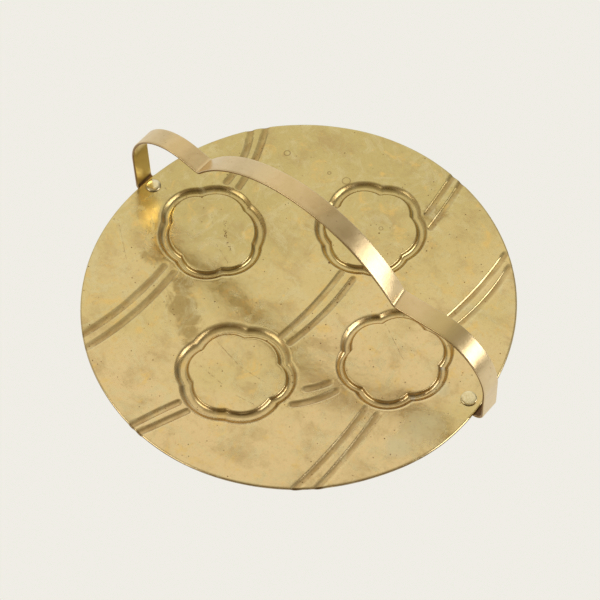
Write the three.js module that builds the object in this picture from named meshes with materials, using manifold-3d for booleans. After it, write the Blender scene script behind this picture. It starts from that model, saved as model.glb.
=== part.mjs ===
// Round brass drinks tray with a bracket-shaped strap handle.
//
// Pieces: a pressed sheet plate, one strap bent into three humps, and the two rivets that hold it.
// Frame: +Z up, origin on the surface the tray stands on, in the middle of its outer box.
// +X runs along the handle. All lengths are in millimetres.

import * as THREE from 'three';
import { mergeVertices } from 'three/addons/utils/BufferGeometryUtils.js';
import Module from 'manifold-3d';

const wasm = await Module();
wasm.setup();

// ---------------------------------------------------------------- driving dimensions

const plate = {
  radius: 150,
  sheet: 1,
  hemDrop: 2, // height of the turned-under rim, from the top face down
  hemWidth: 3,
  segments: 96,
};

// The blank was cut by hand: the rim is drawn in behind one foot and runs wide beside the other.
const rimWander = [
  { angle: 172, by: -2, spread: 25 },
  { angle: -14, by: 1.3, spread: 11 },
];

// A cup ring is a groove of six round lobes that meet in six inward cusps.
const rosette = {
  lobes: 6,
  lobeRadius: 20.5,
  lobeOffset: 17,
  width: 7.5,
  floor: 3,
  depth: 3.6,
  segments: 30,
};

// Centre of each cup ring from the plate's centre, and the direction of its first cusp in degrees.
const cupRings = [
  { x: -81.5, y: 3.8, turn: 22 },
  { x: 3.5, y: 75, turn: -2 },
  { x: 83, y: 1.5, turn: 26 },
  { x: 5.5, y: -74.3, turn: -3 },
];

// Shallow grooves run in pairs between the cup rings and the rim: start, middle and end of each.
const stem = { width: 5.5, floor: 2, depth: 1.2, endWall: 1.5, segments: 4 };
const stems = [
  [[27, 107], [24.5, 125], [21.3, 144.5]],
  [[36.5, 99], [34, 120], [29.5, 142.5]],
  [[89.5, 37], [93, 85], [90, 115]],
  [[97.5, 35], [102.3, 82], [98.5, 107.5]],
  [[10.5, 36], [13.5, 0], [11.5, -36]],
  [[20.5, 36], [23.2, 0], [19.5, -36]],
  [[91.5, -37], [95, -76], [93.5, -108]],
  [[100.5, -36], [104.5, -72], [105, -96]],
  [[-89, -36], [-87.5, -68], [-94, -110]],
  [[-80, -36], [-78, -68], [-85.5, -116]],
  [[-102, 40], [-107, 67], [-117, 87]],
  [[-92, 42], [-99, 70], [-110, 95]],
  [[-7, -113], [-13, -127], [-20.5, -144.5]],
  [[2, -114], [-4, -128], [-13.5, -145.3]],
  [[50, -56], [56, -48.5], [61.5, -38]],
  [[50.5, -71], [60, -59.5], [69, -40]],
];

// The strap. Heights are from the plate's top face, so the feet have negative ones.
const strap = {
  width: 15,
  thick: 2,
  acrossAt: 8, // the handle stands a little off the plate's centre line
  archRadius: 102,
  foldCut: 4, // how far from a fold its curve begins
  footTop: -1.3,
  footEnd: 133,
  notchRoom: 0.5, // the hem is cut away this much wider than the strap on each side
};

// Each half of the strap, mirrored where needed so that X runs outwards from the middle.
const rightHalf = { reach: 158, curl: 9, shoulder: { r: 40, z: 28 }, fold: { x: 80.5, z: 64 } };
const leftHalf = { reach: 151, curl: 3.2, shoulder: { r: 42, z: 30.5 }, fold: { x: 86.3, z: 67.4 } };

const rivet = {
  outAt: 140.8,
  shank: 2.5,
  head: 5.5,
  domeHeight: 1.8,
  flatHeight: 1.4,
  flatEdge: 0.5,
  tail: 4.5,
  tailThick: 1,
  segments: 32,
};

const fit = 0.3; // clearance round a shank
const seat = 0.1; // clearance under a head

const topFace = rosette.depth + plate.sheet; // the cup rings' ridges are what the tray stands on
const degrees = Math.PI / 180;

const brass = (color, roughness) => new THREE.MeshStandardMaterial({ color, roughness, metalness: 1 });
const finishes = {
  plate: brass(0xcdbc80, 0.32),
  strap: brass(0xcfb48a, 0.38),
  rivet: brass(0xc9b06c, 0.3),
};

// ---------------------------------------------------------------- solids and booleans

function toSolid(geometry) {
  const bare = geometry.index ? geometry.toNonIndexed() : geometry;
  bare.deleteAttribute('normal');
  bare.deleteAttribute('uv');
  const merged = mergeVertices(bare, 1e-4);
  const mesh = new wasm.Mesh({
    numProp: 3,
    vertProperties: new Float32Array(merged.attributes.position.array),
    triVerts: new Uint32Array(merged.index.array),
  });
  return new wasm.Manifold(mesh);
}

function toGeometry(solid) {
  const mesh = solid.getMesh();
  const geometry = new THREE.BufferGeometry();
  geometry.setAttribute('position', new THREE.BufferAttribute(mesh.vertProperties, 3));
  geometry.setIndex(new THREE.BufferAttribute(mesh.triVerts, 1));
  geometry.computeVertexNormals();
  return geometry;
}

function joined(solids) {
  return solids.reduce((whole, next) => whole.add(next));
}

function prism(shape, low, high) {
  const geometry = new THREE.ExtrudeGeometry(shape, { depth: high - low, bevelEnabled: false });
  return toSolid(geometry.translate(0, 0, low));
}

// ---------------------------------------------------------------- plate

function rimRadius(angle) {
  const wander = rimWander.map(({ angle: centre, by, spread }) => {
    const off = THREE.MathUtils.euclideanModulo(angle - centre + 180, 360) - 180;
    return by * Math.exp(-((off / spread) ** 2));
  });
  return wander.reduce((radius, change) => radius + change, plate.radius);
}

function rimLine(inset) {
  return Array.from({ length: plate.segments }, (_, i) => {
    const angle = (360 * i) / plate.segments;
    const radius = rimRadius(angle) - inset;
    return new THREE.Vector2(radius * Math.cos(angle * degrees), radius * Math.sin(angle * degrees));
  });
}

// A round plug with slanting sides, from one depth below the top face to another.
function plug(x, y, topDepth, topRadius, lowDepth, lowRadius) {
  const corners = [[0, -lowDepth], [lowRadius, -lowDepth], [topRadius, -topDepth], [0, -topDepth]];
  const profile = corners.map(([radius, z]) => new THREE.Vector2(radius, z));
  const geometry = new THREE.LatheGeometry(profile, rosette.segments).rotateX(Math.PI / 2);
  return toSolid(geometry.translate(x, y, topFace));
}

// Six plugs round a ring's centre, with one more in the middle to close the gap between them.
function lobedPlug(ring, topDepth, topRadius, lowDepth, lowRadius) {
  const lobes = Array.from({ length: rosette.lobes }, (_, i) => {
    const angle = ring.turn * degrees + ((2 * i + 1) * Math.PI) / rosette.lobes;
    const x = ring.x + rosette.lobeOffset * Math.cos(angle);
    const y = ring.y + rosette.lobeOffset * Math.sin(angle);
    return plug(x, y, topDepth, topRadius, lowDepth, lowRadius);
  });
  return joined([plug(ring.x, ring.y, topDepth, topRadius, lowDepth, lowRadius), ...lobes]);
}

// What lies between two lobed plugs, whose half widths from the middle line are given at each depth.
function lobedBand(ring, topDepth, topHalf, lowDepth, lowHalf) {
  const middle = rosette.lobeRadius;
  const beyond = 1; // the inner plug is taller than the band that it opens
  const lean = (topHalf - lowHalf) / (lowDepth - topDepth);
  const innerTop = middle - topHalf - lean * beyond;
  const innerLow = middle - lowHalf + lean * beyond;
  const outer = lobedPlug(ring, topDepth, middle + topHalf, lowDepth, middle + lowHalf);
  return outer.subtract(lobedPlug(ring, topDepth - beyond, innerTop, lowDepth + beyond, innerLow));
}

function stemCurve(places, extra) {
  const points = places.map(([x, y]) => new THREE.Vector3(x, y, topFace));
  const [start, middle, end] = points;
  const outwards = (tip) => tip.clone().sub(middle).setLength(extra).add(tip);
  return new THREE.CatmullRomCurve3([outwards(start), middle, outwards(end)]);
}

// Half widths of a groove, and of the ridge that it raises underneath, at the depths where they end.
function channelWidths({ width, floor, depth }) {
  const lean = (width - floor) / 2 / depth; // sideways run of a wall for each millimetre of depth
  const wall = plate.sheet * Math.hypot(1, lean); // sideways thickness of a wall
  const above = 1;
  const inside = plate.sheet / 2;
  const under = depth + plate.sheet;
  const outside = width / 2 + wall;
  return {
    groove: [-above, width / 2 + lean * above, depth, floor / 2],
    ridge: [inside, outside - lean * inside, under, outside - lean * under],
  };
}

function cupRingChannels(ring) {
  const { groove, ridge } = channelWidths(rosette);
  return { groove: lobedBand(ring, ...groove), ridge: lobedBand(ring, ...ridge) };
}

// A section's first axis points down from the top face, its second across the stem.
function stemSweep(curve, topDepth, topHalf, lowDepth, lowHalf) {
  const corners = [[topDepth, -topHalf], [topDepth, topHalf], [lowDepth, lowHalf], [lowDepth, -lowHalf]];
  const shape = new THREE.Shape(corners.map(([depth, across]) => new THREE.Vector2(depth, across)));
  const options = { extrudePath: curve, steps: stem.segments, bevelEnabled: false };
  return toSolid(new THREE.ExtrudeGeometry(shape, options));
}

function stemChannels(places) {
  const { groove, ridge } = channelWidths(stem);
  return {
    groove: stemSweep(stemCurve(places, 0), ...groove),
    ridge: stemSweep(stemCurve(places, stem.endWall), ...ridge),
  };
}

function shankHole(side) {
  const radius = rivet.shank + fit;
  const hole = new THREE.CylinderGeometry(radius, radius, 4 * topFace, rivet.segments).rotateX(Math.PI / 2);
  return toSolid(hole.translate(side * rivet.outAt, strap.acrossAt, topFace));
}

// Over each foot the hem is cut away, so that the foot lies flat against the sheet.
function hemNotch(side) {
  const length = 2 * (plate.radius - strap.footEnd);
  const across = strap.width + 2 * strap.notchRoom;
  const notch = new THREE.BoxGeometry(length, across, topFace);
  const high = topFace - plate.sheet;
  return toSolid(notch.translate(side * plate.radius, strap.acrossAt, high - topFace / 2));
}

function trayPlate() {
  const sheet = prism(new THREE.Shape(rimLine(0)), topFace - plate.sheet, topFace);
  const hemRing = new THREE.Shape(rimLine(0));
  hemRing.holes.push(new THREE.Path(rimLine(plate.hemWidth)));
  const hem = prism(hemRing, topFace - plate.hemDrop, topFace - plate.sheet / 2);
  const openHem = hem.subtract(hemNotch(1)).subtract(hemNotch(-1));

  const channels = [...cupRings.map(cupRingChannels), ...stems.map(stemChannels)];
  const raised = joined([sheet, openHem, ...channels.map(({ ridge }) => ridge)]);
  const cuts = joined([...channels.map(({ groove }) => groove), shankHole(1), shankHole(-1)]);
  return toGeometry(raised.subtract(cuts));
}

// ---------------------------------------------------------------- strap handle

function arc(x, z, radius, from, to, step) {
  const count = Math.max(2, Math.ceil(Math.abs(to - from) / step));
  return Array.from({ length: count + 1 }, (_, i) => {
    const angle = (from + ((to - from) * i) / count) * degrees;
    return new THREE.Vector2(x + radius * Math.cos(angle), z + radius * Math.sin(angle));
  });
}

// Middle line of one half: foot, curl round the rim, side, shoulder and the slope to the fold.
function halfLine({ reach, curl, shoulder, fold }) {
  const mid = strap.thick / 2;
  const curlRadius = curl - mid;
  const side = reach - mid;
  const curlX = side - curlRadius;
  const footZ = strap.footTop - mid;

  const shoulderRadius = shoulder.r - mid;
  const shoulderX = side - shoulderRadius;
  const toFold = new THREE.Vector2(fold.x - shoulderX, fold.z - shoulder.z);
  const touch = toFold.angle() / degrees - Math.acos(shoulderRadius / toFold.length()) / degrees;
  const over = arc(shoulderX, shoulder.z, shoulderRadius, 0, touch, 8);
  const foldPoint = new THREE.Vector2(fold.x, fold.z);
  const slopeEnd = foldPoint.clone().sub(over.at(-1)).setLength(strap.foldCut).negate().add(foldPoint);

  return [
    new THREE.Vector2(strap.footEnd, footZ),
    ...arc(curlX, footZ + curlRadius, curlRadius, -90, 0, 15),
    ...over,
    slopeEnd,
  ];
}

// The main arch is one arc from fold to fold. Each fold is rounded by a curve through its corner.
function archLine(left, right) {
  const middle = left.clone().add(right).multiplyScalar(0.5);
  const chord = right.clone().sub(left);
  const drop = Math.sqrt(strap.archRadius ** 2 - (chord.length() / 2) ** 2);
  const centre = new THREE.Vector2(chord.y, -chord.x).setLength(drop).add(middle);
  const cut = strap.foldCut / strap.archRadius / degrees;
  const start = right.clone().sub(centre).angle() / degrees + cut;
  const end = left.clone().sub(centre).angle() / degrees - cut;
  return arc(centre.x, centre.y, strap.archRadius, start, end, 5);
}

function foldCurve(from, corner, to) {
  return new THREE.QuadraticBezierCurve(from, corner, to).getPoints(5).slice(1, -1);
}

function strapLine() {
  const mirror = (points) => points.map(({ x, y }) => new THREE.Vector2(-x, y)).reverse();
  const right = halfLine(rightHalf);
  const left = mirror(halfLine(leftHalf));
  const rightFold = new THREE.Vector2(rightHalf.fold.x, rightHalf.fold.z);
  const leftFold = new THREE.Vector2(-leftHalf.fold.x, leftHalf.fold.z);
  const arch = archLine(leftFold, rightFold);
  return [
    ...right,
    ...foldCurve(right.at(-1), rightFold, arch[0]),
    ...arch,
    ...foldCurve(arch.at(-1), leftFold, left[0]),
    ...left,
  ];
}

// Moves a line sideways by the given distance, along the bisector at each of its points.
function offsetLine(points, distance) {
  return points.map((point, i) => {
    const before = points[Math.max(i - 1, 0)];
    const after = points[Math.min(i + 1, points.length - 1)];
    const along = after.clone().sub(before).normalize();
    return new THREE.Vector2(point.x - along.y * distance, point.y + along.x * distance);
  });
}

function strapHandle() {
  const line = strapLine();
  const outline = [...offsetLine(line, strap.thick / 2), ...offsetLine(line, -strap.thick / 2).reverse()];
  const bar = prism(new THREE.Shape(outline), -strap.width / 2, strap.width / 2);
  const upright = toGeometry(bar).rotateX(Math.PI / 2).translate(0, strap.acrossAt, topFace);
  return toGeometry(toSolid(upright).subtract(shankHole(1)).subtract(shankHole(-1)));
}

// ---------------------------------------------------------------- rivets

const footUnderside = strap.footTop - strap.thick;
const tailTop = footUnderside - seat;

function domeProfile() {
  const radius = (rivet.head ** 2 + rivet.domeHeight ** 2) / 2 / rivet.domeHeight;
  const rim = Math.asin(rivet.head / radius) / degrees;
  return arc(0, seat + rivet.domeHeight - radius, radius, 90 - rim, 90, 8);
}

function flatProfile() {
  const shoulderZ = seat + rivet.flatHeight;
  return [
    new THREE.Vector2(rivet.head, seat),
    new THREE.Vector2(rivet.head, shoulderZ - rivet.flatEdge),
    new THREE.Vector2(rivet.head - rivet.flatEdge, shoulderZ),
    new THREE.Vector2(0, shoulderZ),
  ];
}

function rivetGeometry(headProfile) {
  const below = [
    [0, tailTop - rivet.tailThick],
    [rivet.tail, tailTop - rivet.tailThick],
    [rivet.tail, tailTop],
    [rivet.shank, tailTop],
    [rivet.shank, seat],
  ].map(([x, z]) => new THREE.Vector2(x, z));
  const geometry = new THREE.LatheGeometry([...below, ...headProfile], rivet.segments).rotateX(Math.PI / 2);
  return toGeometry(toSolid(geometry));
}

// ---------------------------------------------------------------- assembly

function piece(name, geometry, material) {
  const mesh = new THREE.Mesh(geometry, material);
  mesh.name = name;
  return mesh;
}

const tray = new THREE.Group();
tray.add(piece('tray_plate', trayPlate(), finishes.plate));
tray.add(piece('strap_handle', strapHandle(), finishes.strap));

const leftRivet = piece('rivet_left', rivetGeometry(domeProfile()), finishes.rivet);
leftRivet.position.set(-rivet.outAt, strap.acrossAt, topFace);
const rightRivet = piece('rivet_right', rivetGeometry(flatProfile()), finishes.rivet);
rightRivet.position.set(rivet.outAt, strap.acrossAt, topFace);
tray.add(leftRivet, rightRivet);

// The strap reaches further out on the right, so the plate sits to the left of the box's middle.
tray.position.x = -(rightHalf.reach - leftHalf.reach) / 2;

export default tray;
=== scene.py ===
"""Looks of the brass tray: its sheet, strap and rivets as fine meshes, in procedural brass.

Shapes are worked out in millimetres from the middle of the plate's top face, as in the CAD source,
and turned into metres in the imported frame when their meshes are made.
"""

import math

import bpy
import numpy as np
from mathutils import Matrix, Vector
from mathutils.geometry import delaunay_2d_cdt


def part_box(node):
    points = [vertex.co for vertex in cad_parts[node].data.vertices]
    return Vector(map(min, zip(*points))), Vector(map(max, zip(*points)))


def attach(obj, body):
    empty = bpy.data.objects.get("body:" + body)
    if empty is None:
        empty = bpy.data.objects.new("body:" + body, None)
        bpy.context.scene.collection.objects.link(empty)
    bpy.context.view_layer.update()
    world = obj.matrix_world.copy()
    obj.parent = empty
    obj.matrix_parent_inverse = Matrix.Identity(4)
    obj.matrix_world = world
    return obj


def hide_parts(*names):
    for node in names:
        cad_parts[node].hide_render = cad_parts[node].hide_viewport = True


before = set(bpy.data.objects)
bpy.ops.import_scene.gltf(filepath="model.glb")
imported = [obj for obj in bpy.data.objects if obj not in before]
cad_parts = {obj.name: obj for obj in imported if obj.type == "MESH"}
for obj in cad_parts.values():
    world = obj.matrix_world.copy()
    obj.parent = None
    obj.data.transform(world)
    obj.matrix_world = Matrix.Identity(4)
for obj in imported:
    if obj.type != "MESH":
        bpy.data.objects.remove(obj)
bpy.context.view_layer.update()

# ------------------------------------------------------------------ places taken from the frame

MM = 0.001
REACH_RIGHT = 158  # from the plate's middle to the strap's outermost face
PLATE_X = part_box("strap_handle")[1].x / MM - REACH_RIGHT
TOP_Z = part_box("tray_plate")[1].z / MM


def to_frame(points):
    """Plate-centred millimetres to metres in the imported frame."""
    return (np.asarray(points, float) + (PLATE_X, 0, TOP_Z)) * MM


# ------------------------------------------------------------------ driving dimensions, in mm

PLATE_RADIUS = 150
SHEET = 1.0
RIM_WANDER = [(172, -2.0, 25), (-14, 1.3, 11)]  # angle, how far out, spread in degrees

# The rolled rim's section: how far in from the edge, and how far below the top face.
RIM_SECTION = [
    (1.2, 0.0), (0.75, 0.09), (0.35, 0.35), (0.1, 0.72), (0.0, 1.15), (0.1, 1.58),
    (0.35, 1.95), (0.75, 2.2), (1.2, 2.3), (3.4, 2.3), (3.9, 2.1), (4.1, 1.7),
]
HEM_INSET = RIM_SECTION[-1][0]
NOTCH_DROP = 0.45  # how much of the rim's thickness is left over the strap's feet
NOTCH_SIDE = (0.2, 1.2)  # beside a foot, the rim gets its full thickness back between these distances
SHADED_RIM_SIDE = (0.25, 0.9)  # its painted shade starts and is full this far below the top face, on the rim's side

# Cup rings, lobe by lobe. Each lobe starts at an inward point of the ring's inner edge and runs to the
# next lobe's; then come how far its inner edge bows out between the two, and how wide its groove is.
RING_LOBES = [
    [(-109, -7, 8.5, 7.4), (-107, 22, 7.8, 7.3), (-76.5, 31.5, 4.8, 8),
     (-54, 14, 7.5, 7), (-57, -14.5, 8, 6.6), (-85, -24, 5.5, 7.6)],
    [(-25, 77, 8.2, 8.3), (-9.5, 101.5, 7.7, 7.8), (18.5, 100.5, 7.5, 7.4),
     (33, 72.5, 7.3, 6.2), (18.5, 47.5, 6.8, 7.2), (-11, 50, 7.3, 7.4)],
    [(56.5, -11, 7.5, 7.3), (59.5, 18.5, 7.2, 7.3), (84.5, 32.5, 8.3, 6.6),
     (108.5, 16.5, 7.8, 6.5), (106, -13.5, 8.4, 6.7), (80.5, -28.5, 8.5, 5.6)],
    [(-22.5, -73, 7, 9.2), (-7, -49.5, 8, 8.5), (24, -50.5, 8.6, 7.2),
     (36.5, -75, 6.2, 9.2), (19.5, -99, 7.2, 9.6), (-11, -96.5, 6.5, 9.4)],
]
RING_WIDTH = 7.5  # the usual width, which the section below is drawn for
LOBE_SOFTNESS = 0.12  # how far round the crease between two lobes is softened

FULLY_PRESSED = 3.5  # the depth at which the material's "pressed" number is 1

# Section of a cup ring's groove: distance out from its inner edge, height.
RING_SECTION = [
    (-1.8, 0), (-0.8, -0.03), (-0.2, -0.12), (0.15, -0.4), (0.45, -0.92), (0.8, -1.5), (1.25, -2.05),
    (1.8, -2.45), (2.5, -2.71), (3.3, -2.8), (4.2, -2.69), (5.0, -2.38), (5.7, -1.92), (6.3, -1.38),
    (6.8, -0.9), (7.3, -0.5), (7.8, -0.24), (8.4, -0.08), (9.2, 0),
]

# Stem grooves: start, middle and end, depth, and which section they have.
STEMS = [
    ([(27, 108), (24.5, 125), (20.5, 151)], 0.9, "west"),
    ([(36.5, 99), (34, 120), (28.5, 150)], 0.9, "west"),
    ([(89.5, 37), (93, 85), (90, 119)], 0.88, "west"),
    ([(97.5, 35), (102.3, 82), (98.5, 112)], 0.66, "west"),
    ([(10.5, 37), (13.5, 0), (11.5, -36)], 0.75, "even"),
    ([(20.5, 37), (23.2, 0), (19.5, -36)], 0.85, "even"),
    ([(91.5, -38), (95, -76), (93.5, -119)], 0.8, "soft"),
    ([(100.5, -37), (104.5, -72), (105, -110)], 0.75, "soft"),
    ([(-89, -36), (-87.5, -68), (-96, -120)], 0.8, "wide"),
    ([(-80, -36), (-78, -68), (-87, -127)], 0.8, "wide"),
    ([(-102, 40), (-107, 67), (-121, 92)], 0.9, "wide"),
    ([(-92, 42), (-99, 70), (-114, 101)], 0.9, "wide"),
    ([(-7, -113), (-13, -127), (-22, -152)], 1.1, "even"),
    ([(2, -114), (-4, -128), (-15, -153)], 1.1, "even"),
    ([(50, -56), (56, -48.5), (61.5, -38)], 1.0, "even"),
    ([(50.5, -71), (60, -59.5), (69, -40)], 1.0, "even"),
]
# Sections for a depth of 1: distance across, from the west or left-hand side, and height.
STEM_SECTIONS = {
    "west": [
        (-3.1, 0), (-2.75, -0.05), (-2.4, -0.32), (-2.0, -0.78), (-1.5, -0.98), (-0.8, -1.0),
        (0.4, -0.82), (1.7, -0.42), (2.7, -0.1), (3.3, 0),
    ],
    "soft": [
        (-3.0, 0), (-2.6, -0.08), (-2.0, -0.45), (-1.3, -0.85), (-0.6, -1.0), (0.3, -0.95),
        (1.5, -0.6), (2.6, -0.18), (3.5, 0),
    ],
    "wide": [
        (-3.6, 0), (-3.1, -0.07), (-1.9, -0.45), (-0.6, -0.82), (0.6, -1), (1.5, -0.93),
        (2.2, -0.62), (2.7, -0.22), (3.1, -0.04), (3.5, 0),
    ],
    "even": [
        (-3.3, 0), (-2.8, -0.06), (-2.2, -0.34), (-1.5, -0.76), (-0.75, -0.97), (0, -1.02),
        (0.75, -0.97), (1.5, -0.76), (2.2, -0.34), (2.8, -0.06), (3.3, 0),
    ],
}
STEM_FADE = (-0.8, 2.6)  # a stem starts to sink here, along its line, and is at full depth there
STEM_END_WIDTH = 0.35  # its width where it starts, of its full width

STRAP_WIDTH = 15
STRAP_THICK = 2
STRAP_EDGE = 0.85  # radius of the strap's worn edges
STRAP_INSET = 0.03  # how far the drawn strap stays inside the CAD strap
STRAP_CROWN = 0.05  # how much lower its faces are at the edges than in the middle
STRAP_ACROSS_AT = 8  # how far behind the plate's middle the strap's middle line lies
ARCH_RADIUS = 102  # of the middle hump
FOLD_CUT = 2.6  # how far from a fold's corner its curve starts
FOLD_SKEW = (-1.3, 9, 50)  # of the right fold: how far, spread along X, lowest height it is felt at
FOOT_TOP = -1.3  # height of the feet's upper faces
FOOT_END = 133  # from the plate's middle to the end of a foot
# Each half of the strap, X outwards: how far out its face reaches, the radius of its curl round the rim,
# its shoulder's radius and the height of the shoulder's centre, and the corner of its fold.
RIGHT_HALF = {"reach": REACH_RIGHT, "curl": 9, "shoulder": (40, 28), "fold": (80.5, 64)}
LEFT_HALF = {"reach": 151, "curl": 3.2, "shoulder": (42, 30.5), "fold": (86.3, 67.4)}

RIVET_OUT_AT = 140.8
RIVET_SEAT = 0.1  # height of the plate's face under a rivet's head
RIVET_TILT_FROM = 0.3  # a tilted head is tilted above this height

# ------------------------------------------------------------------ camera, floor and light

VIEW_AZIMUTH = math.radians(41.96)
VIEW_ELEVATION = math.radians(56.55)
VIEW_ROLL = math.radians(-2.72)
VIEW_DISTANCE = 1500
VIEW_AIM = (1.14, -3.19)  # right of and beyond the plate's middle, as the camera sees it
VIEW_LENS = 131.16

TO_RIGHT = Vector((math.cos(VIEW_AZIMUTH), math.sin(VIEW_AZIMUTH), 0))
TO_BACK = Vector((-math.sin(VIEW_AZIMUTH), math.cos(VIEW_AZIMUTH), 0))
UP = Vector((0, 0, 1))


def seen_direction(right, back, up):
    """A unit vector, given as the camera sees it."""
    return (TO_RIGHT * right + TO_BACK * back + UP * up).normalized()


def make_camera():
    """The photograph's view: a long lens from the front right, looking well down on the tray."""
    back = UP * math.sin(VIEW_ELEVATION) - TO_BACK * math.cos(VIEW_ELEVATION)
    level_up = back.cross(TO_RIGHT)
    right = TO_RIGHT * math.cos(VIEW_ROLL) + level_up * math.sin(VIEW_ROLL)
    up = back.cross(right)
    aim = TO_RIGHT * VIEW_AIM[0] + TO_BACK * VIEW_AIM[1]
    data = bpy.data.cameras.new("camera")
    data.lens = VIEW_LENS
    data.sensor_width = 36
    camera = bpy.data.objects.new("camera", data)
    bpy.context.scene.collection.objects.link(camera)
    camera.matrix_world = Matrix((right, up, back)).transposed().to_4x4()
    camera.location = Vector(to_frame(aim + back * VIEW_DISTANCE))
    bpy.context.scene.camera = camera


def panel(name, direction, distance, size, radiance, color):
    """A soft rectangular light that faces the tray. Its radiance is what a mirror would show."""
    data = bpy.data.lights.new(name, "AREA")
    data.shape = "RECTANGLE"
    data.size, data.size_y = size
    data.energy = radiance * math.pi * size[0] * size[1]
    data.color = color
    light = bpy.data.objects.new(name, data)
    bpy.context.scene.collection.objects.link(light)
    towards = seen_direction(*direction)
    light.location = towards * distance
    light.rotation_euler = towards.to_track_quat("Z", "Y").to_euler()
    light.visible_camera = False


def make_lights():
    panel("key_right", (0.82, -0.28, 0.50), 1.5, (1.05, 0.62), 3.9, (1, 0.98, 0.93))
    panel("fill_left", (-0.80, -0.33, 0.48), 1.5, (0.9, 0.6), 2.0, (1, 0.95, 0.82))
    panel("overhead_back", (-0.12, 0.62, 0.78), 1.4, (1.3, 1.1), 0.3, (1, 0.92, 0.7))


# Darker parts of the room: direction (right, back, up), cosine of the edge, how dark the middle is.
DARK_PATCHES = [
    ((0.60, -0.01, 0.80), 0.905, 0.47),  # above the key light
    ((0.94, -0.29, 0.15), 0.955, 0.1),  # below it
    ((0.78, 0.52, 0.35), 0.90, 0.3),  # right of the backdrop
]


def set_inputs(tree, node, inputs):
    """Sets a node's inputs to values, or links them to the outputs of other nodes."""
    for socket, value in inputs.items():
        if isinstance(value, bpy.types.NodeSocket):
            tree.links.new(value, node.inputs[socket])
        else:
            node.inputs[socket].default_value = value


def add_node(tree, kind, inputs=(), **settings):
    """A new shader node with its settings and its inputs."""
    node = tree.nodes.new("ShaderNode" + kind)
    for name, value in settings.items():
        setattr(node, name, value)
    set_inputs(tree, node, dict(inputs))
    return node


def dark_patch(tree, coords, direction, edge_cosine, darkest):
    """A factor for the world's strength: 1 outside a round patch of sky, least in its middle."""
    middle = seen_direction(*direction)
    near = add_node(tree, "VectorMath", {0: coords, 1: middle}, operation="DOT_PRODUCT").outputs["Value"]
    inputs = {"Value": near, "From Min": edge_cosine, "To Min": 1, "To Max": darkest}
    return add_node(tree, "MapRange", inputs).outputs["Result"]


# The room from in front of the tray (0) to behind it (1).
ROOM = [
    (0.0, (0.52, 0.47, 0.36)),
    (0.02, (0.42, 0.37, 0.27)),
    (0.035, (0.12, 0.09, 0.045)),
    (0.07, (0.07, 0.05, 0.022)),
    (0.12, (0.13, 0.10, 0.05)),
    (0.2, (0.21, 0.16, 0.09)),
    (0.4, (0.43, 0.37, 0.25)),
    (0.6, (0.55, 0.49, 0.365)),
    (0.8, (0.56, 0.515, 0.42)),
    (0.89, (0.60, 0.56, 0.46)),
    (0.96, (0.82, 0.81, 0.77)),
]


def make_world():
    """A room that is pale behind the tray and dark towards the camera, with its darker patches."""
    world = bpy.data.worlds.new("studio")
    world.use_nodes = True
    bpy.context.scene.world = world
    tree = world.node_tree
    tree.nodes.clear()
    coords = add_node(tree, "TexCoord").outputs["Generated"]
    along = add_node(tree, "VectorMath", {0: coords, 1: TO_BACK}, operation="DOT_PRODUCT")
    shift = add_node(tree, "MapRange", {"Value": along.outputs["Value"], "From Min": -1})
    ramp = add_node(tree, "ValToRGB", {"Fac": shift.outputs["Result"]})
    while len(ramp.color_ramp.elements) < len(ROOM):
        ramp.color_ramp.elements.new(0.5)
    for element, (place, color) in zip(ramp.color_ramp.elements, ROOM):
        element.position = place
        element.color = (*color, 1)
    strength = 1
    for patch in DARK_PATCHES:
        factor = dark_patch(tree, coords, *patch)
        strength = add_node(tree, "Math", {0: strength, 1: factor}, operation="MULTIPLY").outputs[0]
    background = add_node(tree, "Background", {"Color": ramp.outputs["Color"], "Strength": strength})
    add_node(tree, "OutputWorld", {"Surface": background.outputs["Background"]})


def make_floor():
    """Pale paper that gives off its own light, as even as the photograph's background."""
    size = 6
    corners = [(-size, -size, 0), (size, -size, 0), (size, size, 0), (-size, size, 0)]
    mesh = bpy.data.meshes.new("floor")
    mesh.from_pydata(corners, [], [(0, 1, 2, 3)])
    floor = bpy.data.objects.new("floor", mesh)
    bpy.context.scene.collection.objects.link(floor)
    material = bpy.data.materials.new("pale_paper")
    material.use_nodes = True
    tree = material.node_tree
    tree.nodes.clear()
    glow = add_node(tree, "Emission", {"Color": (0.863, 0.847, 0.783, 1)})
    add_node(tree, "OutputMaterial", {"Surface": glow.outputs["Emission"]})
    mesh.materials.append(material)


# ------------------------------------------------------------------ curves and meshes


def smooth_curve(knots):
    """A smooth function through (place, value) knots, level before the first and after the last."""
    xs, ys = np.array(knots, float).T
    slopes = np.gradient(ys, xs)
    slopes[0] = slopes[-1] = 0

    def curve(x):
        x = np.clip(x, xs[0], xs[-1])
        i = np.clip(np.searchsorted(xs, x) - 1, 0, len(xs) - 2)
        step = xs[i + 1] - xs[i]
        t = (x - xs[i]) / step
        level = ys[i] * (1 + 2 * t) * (1 - t) ** 2 + ys[i + 1] * t * t * (3 - 2 * t)
        return level + step * t * (1 - t) * (slopes[i] * (1 - t) - slopes[i + 1] * t)

    return curve


def smoothstep(low, high, x):
    """0 below low, 1 above high and smooth between."""
    t = np.clip((x - low) / (high - low), 0, 1)
    return t * t * (3 - 2 * t)


def set_values(piece, name, values):
    """A number for each of a piece's points, for its material to read."""
    layer = piece.data.attributes.new(name, "FLOAT", "POINT")
    layer.data.foreach_set("value", values.astype(np.float32))


def new_piece(name, points, faces, material, replaced):
    """A smooth mesh from plate-centred points, riding on the tray in place of a CAD node."""
    mesh = bpy.data.meshes.new(name)
    mesh.from_pydata(to_frame(points).tolist(), [], [list(face) for face in faces])
    mesh.shade_smooth()
    mesh.materials.append(material)
    piece = bpy.data.objects.new(name, mesh)
    bpy.context.scene.collection.objects.link(piece)
    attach(piece, "root")
    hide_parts(replaced)
    return piece


# ------------------------------------------------------------------ the pressed sheet


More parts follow.
